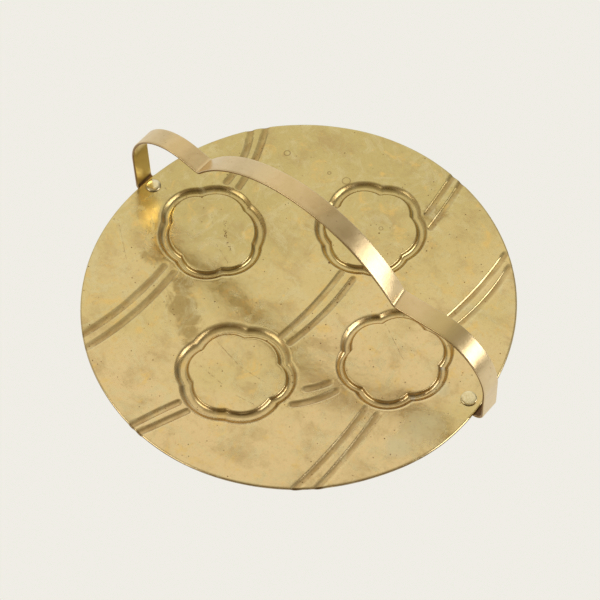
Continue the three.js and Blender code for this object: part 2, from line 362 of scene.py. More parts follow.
def rim_radius(angle):
    """The plate's radius at an angle in degrees: a little out of round."""
    radius = np.full_like(angle, PLATE_RADIUS, dtype=float)
    for centre, by, spread in RIM_WANDER:
        off = (angle - centre + 180) % 360 - 180
        radius += by * np.exp(-((off / spread) ** 2))
    return radius


def lobes_of(lobes):
    """The circles that carry a ring's lobes: middle of the ring, their centres, radii and groove widths."""
    starts = np.array(lobes, float)[:, :2]
    bows, widths = np.array(lobes, float)[:, 2:].T
    middle = starts.mean(0)
    chords = np.roll(starts, -1, axis=0) - starts
    lengths = np.linalg.norm(chords, axis=1)
    radii = ((lengths / 2) ** 2 + bows**2) / (2 * bows)
    inwards = np.stack([chords[:, 1], -chords[:, 0]], 1) / lengths[:, None]
    centres = starts + chords / 2 + inwards * (radii - bows)[:, None]
    return middle, centres, radii, widths


RINGS = [lobes_of(lobes) for lobes in RING_LOBES]


def ring_offset(points, ring):
    """How far outside a cup ring's inner edge each point is, softened a little where two lobes meet."""
    _, centres, radii, widths = ring
    gaps = np.linalg.norm(points[:, None] - centres[None], axis=2) - radii[None]
    gaps *= RING_WIDTH / widths
    nearest = gaps.min(1)
    spread = np.exp(-(gaps - nearest[:, None]) / LOBE_SOFTNESS).sum(1)
    return nearest - LOBE_SOFTNESS * np.log(spread)


def stem_line(places, step=1.6):
    """Points along the curve through a stem's start, middle and end."""
    start, middle, end = (np.array(place, float) for place in places)
    first = np.linalg.norm(middle - start)
    second = np.linalg.norm(end - middle)
    knee = first / (first + second)
    control = (middle - start * (1 - knee) ** 2 - end * knee**2) / (2 * knee * (1 - knee))
    count = int((first + second) / step)
    t = np.linspace(0, 1, count + 1)[:, None]
    return start * (1 - t) ** 2 + 2 * control * t * (1 - t) + end * t**2


STEM_LINES = [stem_line(places) for places, _, _ in STEMS]


def stem_place(points, line):
    """Signed distance of each point across a stem (positive to the east) and along it."""
    legs = np.diff(line, axis=0)
    lengths = np.linalg.norm(legs, axis=1)
    starts = np.concatenate([[0], np.cumsum(lengths)])
    units = legs / lengths[:, None]
    east = np.sign(line[-1, 1] - line[0, 1]) or 1
    from_start = points[:, None] - line[None, :-1]
    along = (from_start * units[None]).sum(2)
    held = np.clip(along, 0, lengths[None])
    away = from_start - held[..., None] * units[None]
    distance = np.linalg.norm(away, axis=2)
    leg = distance.argmin(1)
    rows = np.arange(len(points))
    side = units[leg, 1] * from_start[rows, leg, 0] - units[leg, 0] * from_start[rows, leg, 1]
    reach = along[rows, leg]
    ends = (leg == 0) | (leg == len(legs) - 1)
    travelled = starts[leg] + np.where(ends, reach, held[rows, leg])
    return east * side, travelled, starts[-1]


def stem_height(points, line, depth, section):
    """Height of one stem's groove, which narrows and comes up to the face at both ends."""
    across, travelled, length = stem_place(points, line)
    fade = smoothstep(*STEM_FADE, np.minimum(travelled, length - travelled))
    width = STEM_END_WIDTH + (1 - STEM_END_WIDTH) * np.sqrt(fade)
    return depth * fade * smooth_curve(STEM_SECTIONS[section])(across / width)


# Long shallow waves left in the sheet by the pressing: length, direction in degrees, height, phase.
WAVES = [
    (143, 20, 0.30, 0.4), (97, 115, 0.20, 2.1), (71, 62, 0.13, 4.0), (59, 158, 0.09, 1.2),
    (43, 8, 0.05, 5.3), (37, 95, 0.04, 3.3), (29, 47, 0.025, 0.9), (23, 133, 0.018, 2.7),
]
FEET = [(-RIVET_OUT_AT, STRAP_ACROSS_AT), (RIVET_OUT_AT, STRAP_ACROSS_AT)]
FOOT_LEVEL = (8, 30)  # the sheet is level up to here from a foot's middle, and waves fully from there


def waves(points):
    """Height of the sheet without its grooves: level at the feet, gently uneven elsewhere."""
    height = np.zeros(len(points))
    for length, direction, rise, phase in WAVES:
        angle = math.radians(direction)
        along = points[:, 0] * math.cos(angle) + points[:, 1] * math.sin(angle)
        height += rise * np.sin(2 * math.pi * along / length + phase)
    for foot in FEET:
        height *= smoothstep(*FOOT_LEVEL, np.linalg.norm(points - foot, axis=1))
    return height


def pressed_depth(points):
    """Height of the grooves alone, at points on the plate."""
    ring_section = smooth_curve(RING_SECTION)
    height = np.zeros(len(points))
    for ring in RINGS:
        height = np.minimum(height, ring_section(ring_offset(points, ring)))
    for line, (_, depth, section) in zip(STEM_LINES, STEMS):
        height = np.minimum(height, stem_height(points, line, depth, section))
    return height


def sheet_height(points):
    """Height of the sheet's top face."""
    return pressed_depth(points) + waves(points)


# The sheet's triangles follow loops and lines of points, close together where it bends most: round the
# rim at these distances in from its edge, round a cup ring at these distances out from its inner edge,
# and along a stem at these distances across. A plain grid fills the rest.
RIM_LOOPS = [RIM_SECTION[0][0], 1.8, 2.6, 3.4, HEM_INSET, 5.2]
RIM_SAMPLES = 720
RING_LEVELS = [
    -2.4, -1.4, -0.8, -0.4, -0.1, 0.1, 0.3, 0.5, 0.75, 1.05, 1.4, 1.8, 2.3, 2.9, 3.6,
    4.3, 4.9, 5.4, 5.9, 6.3, 6.6, 6.9, 7.2, 7.5, 7.9, 8.4, 9.2, 10.2,
]
RING_SAMPLES = 216
STEM_LEVELS = [
    -4.2, -3.3, -2.9, -2.6, -2.3, -2.0, -1.6, -1.1, -0.4, 0.4, 1.1, 1.6, 2.0, 2.3, 2.6, 2.9, 3.3, 4.2,
]
STEM_STOP = 6.4  # the stems' lines end this far in from the rim
GRID_SPACING = 5.0
GRID_STOP = 8  # the grid ends this far in from the rim
GRID_OFF_RING = (-4.5, 12)  # it leaves out what lies between these distances out from a ring's inner edge
GRID_OFF_STEM = (6, 5.5)  # and what is this near to a stem's line, beside it and beyond its ends


def ring_strips(ring):
    """Loops of points round a cup ring."""
    middle, centres, radii, widths = ring
    angles = np.linspace(0, 2 * math.pi, RING_SAMPLES, endpoint=False)
    rays = np.stack([np.cos(angles), np.sin(angles)], 1)
    offsets = centres - middle
    ahead = rays @ offsets.T
    aside = rays[:, :1] * offsets[:, 1] - rays[:, 1:] * offsets[:, 0]
    loops = []
    for level in RING_LEVELS:
        reach = radii + level * widths / RING_WIDTH
        hits = ahead + np.sqrt(np.maximum(reach**2 - aside**2, 0))
        loops.append(middle + rays * hits.max(1)[:, None])
    return loops


def stem_strips(line):
    """Lines of points along a stem, side by side across it, that run on a little beyond its ends."""
    tangents = np.gradient(line, axis=0)
    tangents /= np.linalg.norm(tangents, axis=1)[:, None]
    normals = np.stack([tangents[:, 1], -tangents[:, 0]], 1)
    beyond = 3.2
    before = line[0] - tangents[0] * beyond
    after = line[-1] + tangents[-1] * beyond
    longer = np.vstack([before, (before + line[0]) / 2, line, (after + line[-1]) / 2, after])
    sideways = np.vstack([normals[:1], normals[:1], normals, normals[-1:], normals[-1:]])
    return [longer + sideways * level for level in STEM_LEVELS]


def rim_loop(inset):
    """A loop of points at one distance in from the rim."""
    angle = np.arange(RIM_SAMPLES) * 360 / RIM_SAMPLES
    radius = rim_radius(angle) - inset
    turn = np.radians(angle)
    return np.stack([radius * np.cos(turn), radius * np.sin(turn)], 1)


def within_rim(points, inset):
    """Whether each point is further in from the rim than a distance."""
    angle = np.degrees(np.arctan2(points[:, 1], points[:, 0]))
    return np.linalg.norm(points, axis=1) < rim_radius(angle) - inset


def filling_grid():
    """Points of a triangular grid, where no loop or line is near."""
    rows = np.arange(-PLATE_RADIUS, PLATE_RADIUS, GRID_SPACING * math.sqrt(3) / 2)
    grid = np.array([
        (x + (GRID_SPACING / 2 if k % 2 else 0), y)
        for k, y in enumerate(rows)
        for x in np.arange(-PLATE_RADIUS, PLATE_RADIUS, GRID_SPACING)
    ])
    keep = within_rim(grid, GRID_STOP)
    inner, outer = GRID_OFF_RING
    for ring in RINGS:
        offset = ring_offset(grid, ring)
        keep &= (offset < inner) | (offset > outer)
    beside, beyond = GRID_OFF_STEM
    for line in STEM_LINES:
        across, travelled, length = stem_place(grid, line)
        keep &= (np.abs(across) > beside) | (travelled < -beyond) | (travelled > length + beyond)
    return grid[keep]


def sheet_outline():
    """Points and edges that the sheet's triangles have to follow."""
    lines = [(rim_loop(inset), True) for inset in RIM_LOOPS]
    lines += [(loop, True) for ring in RINGS for loop in ring_strips(ring)]
    strips = [strip[within_rim(strip, STEM_STOP)] for line in STEM_LINES for strip in stem_strips(line)]
    lines += [(strip, False) for strip in strips if len(strip) > 1]
    points, edges = [], []
    first = 0
    for line, closed in lines:
        points.append(line)
        last = first + len(line) - 1
        edges += [(i, i + 1) for i in range(first, last)]
        if closed:
            edges.append((last, first))
        first = last + 1
    points.append(filling_grid())
    return np.vstack(points), edges


def surface_normals(points, height_at, step=0.05):
    """Unit normals of a height field, from its slopes."""
    slope_x = (height_at(points + (step, 0)) - height_at(points - (step, 0))) / (2 * step)
    slope_y = (height_at(points + (0, step)) - height_at(points - (0, step))) / (2 * step)
    normals = np.stack([-slope_x, -slope_y, np.ones(len(points))], 1)
    return normals / np.linalg.norm(normals, axis=1)[:, None]


def foot_notch(loop):
    """1 over the strap's feet, where the rolled rim is flattened, and 0 elsewhere."""
    beside = np.abs(loop[:, 1] - STRAP_ACROSS_AT) - STRAP_WIDTH / 2
    return 1 - smoothstep(*NOTCH_SIDE, beside)


def rim_rows(heights):
    """The rolled rim, loop by loop, from below the top face's edge round to the hem's inner lip."""
    notch = foot_notch(rim_loop(0))
    rows = []
    for inset, drop in RIM_SECTION[1:]:
        fallen = drop * (1 - notch * (1 - NOTCH_DROP))
        rows.append(np.column_stack([rim_loop(inset), heights - fallen]))
    return rows


def sheet_mesh():
    """The sheet seen from above: its points, its upward triangles and where each outline point went."""
    outline, edges = sheet_outline()
    corners = [Vector(point) for point in outline]
    flat, _, triangles, sources, _, _ = delaunay_2d_cdt(corners, edges, [], 0, 1e-4, True)
    flat = np.array([tuple(point) for point in flat])
    place_of = {source: i for i, ids in enumerate(sources) for source in ids}
    triangles = np.array([list(triangle) for triangle in triangles])
    first, second, third = flat[triangles].transpose(1, 0, 2)
    one, other = second - first, third - first
    turned = one[:, 0] * other[:, 1] - one[:, 1] * other[:, 0] < 0
    triangles[turned] = triangles[turned][:, ::-1]
    return flat, triangles, place_of


def make_plate(material):
    """The pressed sheet with its top, its underside and its rolled rim, as one closed skin."""
    flat, triangles, place_of = sheet_mesh()
    edge, hem = (
        np.array([place_of[loop * RIM_SAMPLES + i] for i in range(RIM_SAMPLES)])
        for loop in (0, RIM_LOOPS.index(HEM_INSET))
    )
    top = np.column_stack([flat, sheet_height(flat)])
    under = top - surface_normals(flat, sheet_height) * SHEET
    rows = rim_rows(top[edge, 2])

    inside = within_rim(flat, HEM_INSET)
    inside[hem] = True
    under_faces = triangles[inside[triangles].all(1)][:, ::-1] + len(top)
    first_row = 2 * len(top)
    loops = [edge]
    loops += [np.arange(RIM_SAMPLES) + first_row + k * RIM_SAMPLES for k in range(len(rows))]
    loops.append(hem + len(top))
    quads = np.vstack([
        np.column_stack([a, b, np.roll(b, -1), np.roll(a, -1)]) for a, b in zip(loops, loops[1:])
    ])

    points = np.vstack([top, under, *rows])
    faces = [*triangles, *under_faces, *quads]
    used = np.unique(np.concatenate(faces))
    renumbered = np.full(len(points), -1)
    renumbered[used] = np.arange(len(used))
    faces = [renumbered[face].tolist() for face in faces]
    points = points[used]
    plate = new_piece("pressed_plate", points, faces, material, "tray_plate")

    set_values(plate, "pressed", np.clip(-pressed_depth(points[:, :2]) / FULLY_PRESSED, 0, 1))
    fallen = waves(points[:, :2]) - points[:, 2]
    # How far down the rim's side each point is, which the painted shade on it follows.
    set_values(plate, "rim", np.where(used >= first_row, smoothstep(*SHADED_RIM_SIDE, fallen), 0))


# ------------------------------------------------------------------ the strap


def arc(x, z, radius, start, end, step):
    """Points along an arc, no more than step degrees apart."""
    count = max(2, math.ceil(abs(end - start) / step))
    angles = np.radians(np.linspace(start, end, count + 1))
    return np.stack([x + radius * np.cos(angles), z + radius * np.sin(angles)], 1)


def half_line(half):
    """Middle line of one half, X outwards: foot, curl round the rim, side, shoulder, slope to the fold."""
    mid = STRAP_THICK / 2
    curl = half["curl"] - mid
    side = half["reach"] - mid
    foot_z = FOOT_TOP - mid
    shoulder_radius, shoulder_z = half["shoulder"]
    bend = shoulder_radius - mid
    centre = np.array([side - bend, shoulder_z])
    fold = np.array(half["fold"], float)
    to_fold = fold - centre
    distance = np.linalg.norm(to_fold)
    touch = math.degrees(math.atan2(to_fold[1], to_fold[0]) - math.acos(bend / distance))
    over = arc(*centre, bend, 0, touch, 2)
    slope = over[-1] - fold
    slope_end = fold + slope / np.linalg.norm(slope) * FOLD_CUT
    foot = np.stack([np.linspace(FOOT_END, side - curl - 0.5, 8), np.full(8, foot_z)], 1)
    rise = np.stack([np.full(9, side), np.linspace(foot_z + curl, shoulder_z, 11)[1:-1]], 1)
    run = np.linspace(over[-1], slope_end, 12)[1:]
    return np.vstack([foot, arc(side - curl, foot_z + curl, curl, -90, 0, 8), rise, over, run])


def arch_line(left, right):
    """Middle line of the middle hump, from right to left, short of the folds at both ends."""
    chord = right - left
    length = np.linalg.norm(chord)
    drop = math.sqrt(ARCH_RADIUS**2 - (length / 2) ** 2)
    centre = (left + right) / 2 + np.array([chord[1], -chord[0]]) / length * drop
    cut = math.degrees(FOLD_CUT / ARCH_RADIUS)
    start = math.degrees(math.atan2(*(right - centre)[::-1])) + cut
    end = math.degrees(math.atan2(*(left - centre)[::-1])) - cut
    return arc(*centre, ARCH_RADIUS, start, end, 1)


def fold_curve(before, corner, after):
    """Points that round a fold's corner."""
    t = np.linspace(0, 1, 9)[1:-1, None]
    return before * (1 - t) ** 2 + 2 * corner * t * (1 - t) + after * t**2


def strap_line():
    """Middle line of the whole strap in the X-Z plane, from its right foot to its left one."""
    mirror = np.array([-1, 1])
    right = half_line(RIGHT_HALF)
    left = half_line(LEFT_HALF)[::-1] * mirror
    right_fold = np.array(RIGHT_HALF["fold"], float)
    left_fold = np.array(LEFT_HALF["fold"], float) * mirror
    arch = arch_line(left_fold, right_fold)
    return np.vstack([
        right,
        fold_curve(right[-1], right_fold, arch[0]),
        arch,
        fold_curve(arch[-1], left_fold, left[0]),
        left,
    ])


def strap_section():
    """Across and up, anticlockwise: a flat bar whose edges are worn round."""
    half_width = STRAP_WIDTH / 2 - STRAP_INSET
    half_thick = STRAP_THICK / 2 - STRAP_INSET
    section = []
    for side, level, start in ((1, 1, 0), (-1, 1, 90), (-1, -1, 180), (1, -1, 270)):
        x = side * (half_width - STRAP_EDGE)
        z = level * (half_thick - STRAP_EDGE)
        section.append(arc(x, z, STRAP_EDGE, start, start + 90, 15))
        if start in (0, 180):
            across = np.linspace(x, -x, 9)[1:-1]
            drop = STRAP_CROWN * (across / half_width) ** 2
            section.append(np.stack([across, level * (half_thick - drop)], 1))
    return np.vstack(section)


def make_strap(material):
    """The strap, with the place of each point along, across and up from its middle line."""
    line = strap_line()
    tangents = np.gradient(line, axis=0)
    tangents /= np.linalg.norm(tangents, axis=1)[:, None]
    normals = np.stack([tangents[:, 1], -tangents[:, 0]], 1)
    outwards = -normals if normals[len(line) // 2, 1] < 0 else normals
    section = strap_section()
    skew, spread, lowest = FOLD_SKEW
    points = []
    for (x, z), (out_x, out_z) in zip(line, outwards):
        from_fold = (x - RIGHT_HALF["fold"][0]) / spread
        turn = skew * math.exp(-(from_fold**2)) / (STRAP_WIDTH / 2) if z > lowest else 0
        for across, level in section:
            points.append((x + out_x * level + turn * across, STRAP_ACROSS_AT + across, z + out_z * level))
    n = len(section)
    last = (len(line) - 1) * n
    faces = []
    for start in range(0, last, n):
        for i in range(n):
            j = (i + 1) % n
            faces.append((start + i, start + j, start + n + j, start + n + i))
    faces.append(tuple(reversed(range(n))))
    faces.append(tuple(range(last, last + n)))
    strap = new_piece("handle_strap", points, faces, material, "strap_handle")
    run = np.concatenate([[0], np.cumsum(np.linalg.norm(np.diff(line, axis=0), axis=1))])
    layer = strap.data.attributes.new("along", "FLOAT_VECTOR", "POINT")
    values = [(run[-1] - s, across, level) for s in run for across, level in section]
    layer.data.foreach_set("vector", np.ravel(values).astype(np.float32))


# ------------------------------------------------------------------ the rivets


def spun(profile, centre, tilt, segments=64):
    """Points and faces of a profile turned about an upright axis; it starts and ends on the axis."""
    angles = np.linspace(0, 2 * math.pi, segments, endpoint=False)
    inner = profile[1:-1]
    points = [(0, 0, profile[0][1])]
    points += [(r * math.cos(a), r * math.sin(a), z) for r, z in inner for a in angles]
    points.append((0, 0, profile[-1][1]))
    points = np.array(points)
    raised = points[:, 2] > RIVET_TILT_FROM
    points[raised, 2] += points[raised, 0] * tilt[0] + points[raised, 1] * tilt[1]
    last = len(points) - 1
    faces = []
    for i in range(segments):
        j = (i + 1) % segments
        faces.append((0, 1 + j, 1 + i))
        faces.append((last, 1 + (len(inner) - 1) * segments + i, 1 + (len(inner) - 1) * segments + j))
        for row in range(len(inner) - 1):
            a, b = 1 + row * segments, 1 + (row + 1) * segments
            faces.append((a + i, a + j, b + j, b + i))
    return points + (*centre, 0), faces


# Half profiles from the axis to the axis: radius, height. The tail is joined to one of the heads.
TAIL = [
    (0, -4.4), (3.4, -4.4), (4.1, -4.3), (4.45, -4.0), (4.5, -3.7), (4.4, -3.42), (4.2, -3.4), (2.6, -3.4),
    (2.5, -3.3), (2.5, 0.0), (2.7, RIVET_SEAT), (5.0, RIVET_SEAT),
]
DOME = [
    (5.4, 0.16), (5.5, 0.34), (5.42, 0.52), (5.1, 0.82), (4.5, 1.18), (3.7, 1.48), (2.8, 1.7),
    (1.8, 1.83), (0.9, 1.88), (0, 1.9),
]
FLAT = [
    (5.4, 0.16), (5.5, 0.3), (5.5, 0.75), (5.42, 1.0), (5.2, 1.2), (4.85, 1.32), (4.3, 1.4), (3.0, 1.46),
    (1.5, 1.49), (0, 1.5),
]


def make_rivets(material):
    """The left rivet with its dome, and the right one with its flattened, slightly tilted head."""
    for name, side, head, tilt in (("left", -1, DOME, (0, 0)), ("right", 1, FLAT, (-0.015, 0.02))):
        points, faces = spun(TAIL + head, (side * RIVET_OUT_AT, STRAP_ACROSS_AT), tilt)
        new_piece(f"{name}_rivet", points, faces, material, f"rivet_{name}")


# ------------------------------------------------------------------ materials


class Looks:
    """A material's node tree, with one short method for each kind of step."""

    def __init__(self, name):
        self.material = bpy.data.materials.new(name)
        self.material.use_nodes = True
        self.tree = self.material.node_tree
        self.shader = self.tree.nodes["Principled BSDF"]
        self.shader.inputs["Metallic"].default_value = 1

    def add(self, kind, inputs=(), **settings):
        return add_node(self.tree, kind, inputs, **settings)

    def place(self):
        """Where the point is, in plate-centred millimetres."""
        coords = self.add("TexCoord").outputs["Object"]
        from_middle = self.vector("SUBTRACT", coords, (PLATE_X * MM, 0, TOP_Z * MM))
        return self.add("VectorMath", {0: from_middle, "Scale": 1 / MM}, operation="SCALE").outputs[0]

    def moved(self, place, turn=0, stretch=(1, 1, 1), by=(0, 0, 0)):
        """The place stretched, turned by degrees about the upright axis and shifted."""
        inputs = {"Vector": place, "Location": by, "Rotation": (0, 0, math.radians(turn)), "Scale": stretch}
        return self.add("Mapping", inputs).outputs[0]

    def noise(self, place, size, detail=4, rough=0.55, warp=0.0):
        """Cloudy values about 0.5, with features of roughly the given size in mm."""
        inputs = {"Vector": place, "Scale": 1 / size, "Detail": detail}
        inputs.update({"Roughness": rough, "Distortion": warp})
        return self.add("TexNoise", inputs).outputs["Fac"]

    def cells(self, place, size):
        """Distance to the nearest of many scattered points, about 0 to 1."""
        return self.add("TexVoronoi", {"Vector": place, "Scale": 1 / size}).outputs["Distance"]

    def math(self, operation, a, b=0.0):
        return self.add("Math", {0: a, 1: b}, operation=operation).outputs[0]

    def times(self, a, b):
        return self.math("MULTIPLY", a, b)

    def plus(self, a, b):
        return self.math("ADD", a, b)

    def largest(self, values):
        highest, *others = values
        for value in others:
            highest = self.math("MAXIMUM", highest, value)
        return highest

    def between(self, value, low, high, to_low=0.0, to_high=1.0):
        """A smooth step from one level to another as the value goes from low to high."""
        inputs = {"Value": value, 1: low, 2: high, 3: to_low, 4: to_high}
        return self.add("MapRange", inputs, interpolation_type="SMOOTHSTEP").outputs["Result"]

    def vector(self, operation, a, b, output=0):
        return self.add("VectorMath", {0: a, 1: b}, operation=operation).outputs[output]

    def distance(self, flat, x, y):
        """Distance in mm from a place on the plate."""
        return self.vector("DISTANCE", flat, (x, y, 0), "Value")

    def line_distance(self, flat, start, end):
        """Distance in mm from a straight line between two places on the plate."""
        run = Vector((end[0] - start[0], end[1] - start[1], 0))
        from_start = self.vector("SUBTRACT", flat, (*start, 0))
        along = self.vector("DOT_PRODUCT", from_start, tuple(run / run.length_squared), "Value")
        held = self.add("Clamp", {"Value": along}).outputs[0]
        reached = self.add("VectorMath", {0: tuple(run), "Scale": held}, operation="SCALE").outputs[0]
        return self.vector("DISTANCE", from_start, reached, "Value")

    def mix(self, amount, a, b):
        """Colour a, with an amount of colour b over it."""
        a, b = ((*color, 1) if isinstance(color, tuple) else color for color in (a, b))
        return self.add("Mix", {0: amount, 6: a, 7: b}, data_type="RGBA").outputs[2]

    def attribute(self, name, output="Fac"):
        return self.add("Attribute", attribute_name=name).outputs[output]

    def finish(self, color, roughness, height, depth):
        """Plugs in the colour, the roughness and a bump of the given depth in mm."""
        bump = self.add("Bump", {"Height": height, "Distance": depth * MM}).outputs["Normal"]
        set_inputs(self.tree, self.shader, {"Base Color": color, "Roughness": roughness, "Normal": bump})
        return self.material


# Marks seen on the plate: dark pits as place and radius; dried rings as place, radius and strength.
PITS = [
    (10.5, 76, 0.8), (45.5, 85, 0.7), (-42, -39, 0.7), (-42, -5, 0.6), (-107, 22, 1.0),
    (5.5, -40, 0.9), (-1, 35, 1.2), (24, 13, 0.8), (21, 30, 1.0), (22, -15, 0.9), (46, 62, 0.5),
]
DRIED_RINGS = [
    (-36, 97, 2.9, 0.8), (-85, 90, 2.2, 1.0), (66, -34, 3.0, 0.4), (9, 80, 1.4, 0.7),
    (-6, 60, 1.3, 0.8), (-50, 95, 1.2, 0.9), (-62, 34, 1.2, 0.7), (-118, 8, 2.0, 0.6),
]
ORANGE_SPOTS = [  # place and size
    (-46, -31, 1.0), (-60, 60, 1.6), (-20, 118, 2.2), (-8, -6, 1.4), (60, 50, 1.8), (-67, -89, 4.0),
]
SCRATCHES = [  # from and to
    ((-22, -62), (6, -68)), ((6, -68), (26, -67)), ((-18, -84), (5, -86)), ((18, -87), (32, -85)),
    ((-92, 15), (-83, 7)), ((-73, -2), (-56, -9)), ((-140, -30), (-112, -52)), ((60, 20), (88, 5)),
]
CORRODED = [((-80, 16), (-72, 7)), ((-72, 7), (-62, 0))]  # crusty lines, end to end
TARNISH = [  # broad brown patches: place and radius
    (-67, -45, 9), (-59, -54, 10), (-46, -60, 8), (-39, -69, 8), (-100, -36, 9), (30, 112, 9),
]
BLOOM = [(130, -28, 15), (126, -50, 9), (121, 3, 6)]  # pale, dull patches: place and radius
LIME_DEPOSIT = [(111, -12, 5), (112, 17, 2.5), (98, -27, 4)]  # pale scale in a groove: place and radius

OLIVE = (0.645, 0.545, 0.26)
GOLD = (0.76, 0.63, 0.325)
TAN = (0.83, 0.665, 0.39)
STAIN = (0.53, 0.385, 0.19)
TARNISHED = (0.40, 0.29, 0.12)
AMBER = (0.86, 0.62, 0.24)
# dark brown for dirt in pits and spots, and for the painted shadow on the strap's feet
DIRT_AND_SHADOW = (0.19, 0.075, 0.025)
GRIME = (0.43, 0.285, 0.115)
# painted shade for the rim's side
RIM_SIDE_SHADE = (0.13, 0.07, 0.025)
HAZE = (0.80, 0.73, 0.46)
PALE_BLOOM = (0.93, 0.88, 0.62)
LIME = (0.72, 0.72, 0.68)


def sheet_tone(look, across, broad):
    """Tan in front, golden in the middle and greener at the back."""
    tone = look.plus(look.between(across, -150, 170, 0.0, 0.42), look.times(broad, 0.62))
    color = look.mix(look.between(tone, 0.32, 0.52), TAN, GOLD)
    return look.mix(look.between(tone, 0.46, 0.7), color, OLIVE)


def patches_at(look, flat, places, edge, rag, inner, outer, strength):
    """Soft patches where they were seen, their edges moved by a noise; lengths are in patch radii."""
    patches = []
    for x, y, radius in places:
        reach = look.plus(look.distance(flat, x, y), look.times(edge, radius * rag))
        patches.append(look.between(reach, radius * inner, radius * outer, strength, 0))
    return look.largest(patches)


def clouded(look, place, flat, color, stain):
    """The colour with cloudy stains, tarnish, amber and pale haze over it, and how dull those are."""
    color = look.mix(look.times(look.between(stain, 0.47, 0.7), 0.62), color, STAIN)
    edge = look.plus(look.noise(place, 12, 5, 0.6, 0.8), -0.5)
    tarnish = patches_at(look, flat, TARNISH, edge, 2.2, 0.6, 1.2, 0.9)
    streaks = look.noise(look.moved(place, 40, (1, 0.4, 1)), 9, 6, 0.6)
    tarnish = look.times(tarnish, look.between(streaks, 0.3, 0.6, 0.7, 0.9))
    color = look.mix(tarnish, color, TARNISHED)
    amber = look.noise(look.moved(place, -20, by=(70, 10, 0)), 15, 6, 0.65, 0.9)
    color = look.mix(look.times(look.between(amber, 0.53, 0.7), 0.7), color, AMBER)
    haze = look.noise(look.moved(place, 50, by=(-40, 90, 0)), 22, 8, 0.7, 1.6)
    haze = look.times(look.between(haze, 0.48, 0.66), 0.55)
    color = look.mix(haze, color, HAZE)
    bloom = patches_at(look, flat, BLOOM, edge, 1.6, 0.3, 1.4, 0.55)
    color = look.mix(bloom, color, PALE_BLOOM)
    return color, look.plus(look.times(haze, 0.16), look.times(bloom, 0.3))


def sheet_pits(look, place, flat, stain, mottle, pressed):
    """How pitted each point is: fine pits in patches and in the grooves, and marks where they were seen."""
    patches = look.between(look.noise(place, 24, 3), 0.4, 0.58, 0.15, 1)
    specks = look.between(look.cells(place, 5.2), 0.045, 0.12, 0.85, 0)
    fine_specks = look.between(look.cells(look.moved(place, 40), 1.7), 0.06, 0.17, 0.42, 0)
    groove_specks = look.between(look.cells(look.moved(place, 70), 3.6), 0.07, 0.24, 0.8, 0)
    in_grooves = look.times(look.between(pressed, 0.05, 0.2), look.between(stain, 0.45, 0.6))
    pits = [
        look.times(look.largest([specks, fine_specks]), patches),
        look.times(groove_specks, in_grooves),
    ]
    for x, y, radius in PITS:
        pits.append(look.between(look.distance(flat, x, y), radius * 0.35, radius, 0.95, 0))
    for x, y, radius, strength in DRIED_RINGS:
        off = look.math("ABSOLUTE", look.plus(look.distance(flat, x, y), -radius))
        pits.append(look.between(off, 0.12, 0.6, strength * 0.5, 0))
    crust = look.between(look.cells(place, 1.3), 0.2, 0.45, 0.8, 0)
    for start, end in CORRODED:
        near = look.between(look.line_distance(flat, start, end), 0.5, 1.9, 1, 0)
        pits.append(look.times(near, crust))
    unbroken = look.between(mottle, 0.42, 0.58)
    for start, end in SCRATCHES:
        line = look.between(look.line_distance(flat, start, end), 0.1, 0.4, 0.4, 0)
        pits.append(look.times(line, unbroken))
    return look.largest(pits)


def groove_grime(look, place, pressed):
    """Dirt in the grooves, rubbed off in streaks and from the deepest parts."""
    rubbed = look.noise(look.moved(place, 25, (1, 0.35, 1)), 7, 6, 0.6)
    grime = look.times(look.between(pressed, 0.02, 0.2), look.between(rubbed, 0.28, 0.66, 0.3, 1))
    return look.times(grime, look.between(pressed, 0.38, 0.66, 1, 0.4))


def painted_rim_shade(look, place, across):
    """Painted shade on the rim's side, where it would mirror the floor's shadow, most of all in front."""
    in_front = look.between(across, -60, -20, 0.9, 0.55)
    # Noise that makes the painted shade on the rim's side patchy.
    worn = look.between(look.noise(place, 9, 4), 0.35, 0.65, 1.0, 0.7)
    return look.times(look.attribute("rim"), look.times(in_front, worn))


def hairlines(look, place, broad):
    """Two families of fine parallel scratches."""
    families = []
    for turn, gap in ((12, 21), (118, 33)):
        lane = look.moved(place, turn, (1, 0.018, 1), (gap, 0, 0))
        families.append(look.between(look.cells(lane, gap * 0.14), 0.008, 0.03, 1, 0))
    return look.times(look.largest(families), look.between(broad, 0.4, 0.6, 0.15, 0.7))


